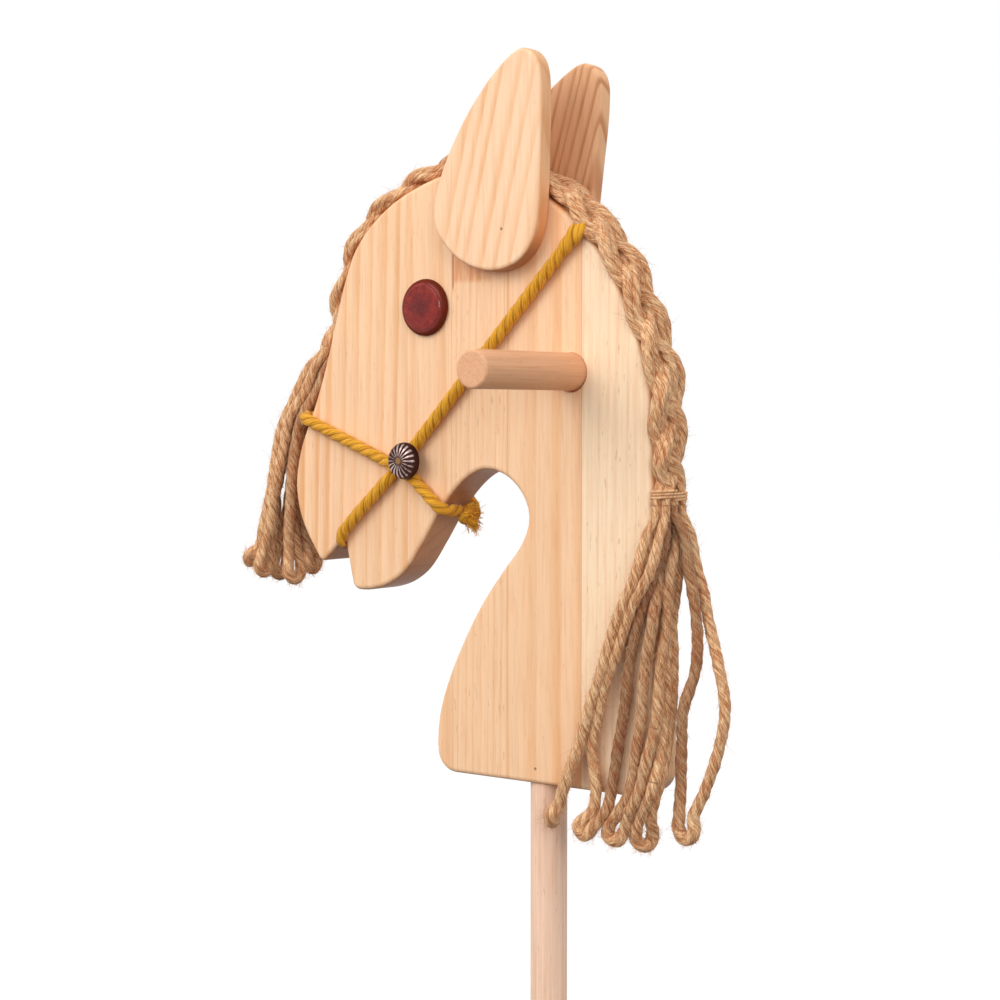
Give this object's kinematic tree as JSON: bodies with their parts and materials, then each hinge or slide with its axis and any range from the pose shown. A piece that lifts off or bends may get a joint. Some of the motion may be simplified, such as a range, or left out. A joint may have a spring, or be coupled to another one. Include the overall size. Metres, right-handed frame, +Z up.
{
  "type": "hobby horse",
  "caption": "Hobby horse with a flat wooden head on a pole, handle dowel, ears, eyes, cord bridle and a rope mane with hanging loops.",
  "frame": {"origin": "centre of the pole's foot", "axes": "+Z up the pole, the nose points to -X, the horse's left side faces -Y"},
  "size_m": [0.3777, 0.2, 0.936],
  "materials": {
    "pine": "oiled",
    "beech_handle": "sanded",
    "beech_pole": "sanded",
    "stained_wood": "varnished",
    "copper": "aged",
    "steel": "plain",
    "jute": "rough",
    "twine": "rough",
    "yellow_cord": "twisted"
  },
  "bodies": {
    "horse": {"head_board": "pine", "left_ear": "pine", "right_ear": "pine", "pole": "beech_pole", "handle_dowel": "beech_handle", "pole_pin": "steel", "left_ear_pin": "steel", "right_ear_pin": "steel", "left_eye": "stained_wood", "right_eye": "stained_wood", "left_rosette": "copper", "right_rosette": "copper", "headstall_cord": "yellow_cord", "noseband_cord": "yellow_cord", "noseband_knot": "yellow_cord", "mane_braid": "jute", "mane_tie": "twine"},
    "mane_tassel": {"mane_loop_1": "jute", "mane_loop_2": "jute", "mane_loop_3": "jute", "mane_loop_4": "jute", "mane_loop_5": "jute"},
    "forelock_tassel": {"forelock_loop_1": "jute", "forelock_loop_2": "jute", "forelock_loop_3": "jute", "forelock_loop_4": "jute", "forelock_loop_5": "jute"}
  },
  "joints": [
    {"name": "mane_swing", "type": "hinge", "parent": "horse", "child": "mane_tassel", "pos_m": [0.09717, 0, 0.67214], "axis": [0, -1, 0], "range_deg": [0, 40]},
    {"name": "forelock_swing", "type": "hinge", "parent": "horse", "child": "forelock_tassel", "pos_m": [-0.17587, 0, 0.76883], "axis": [0, 1, 0], "range_deg": [0, 40]}
  ]
}
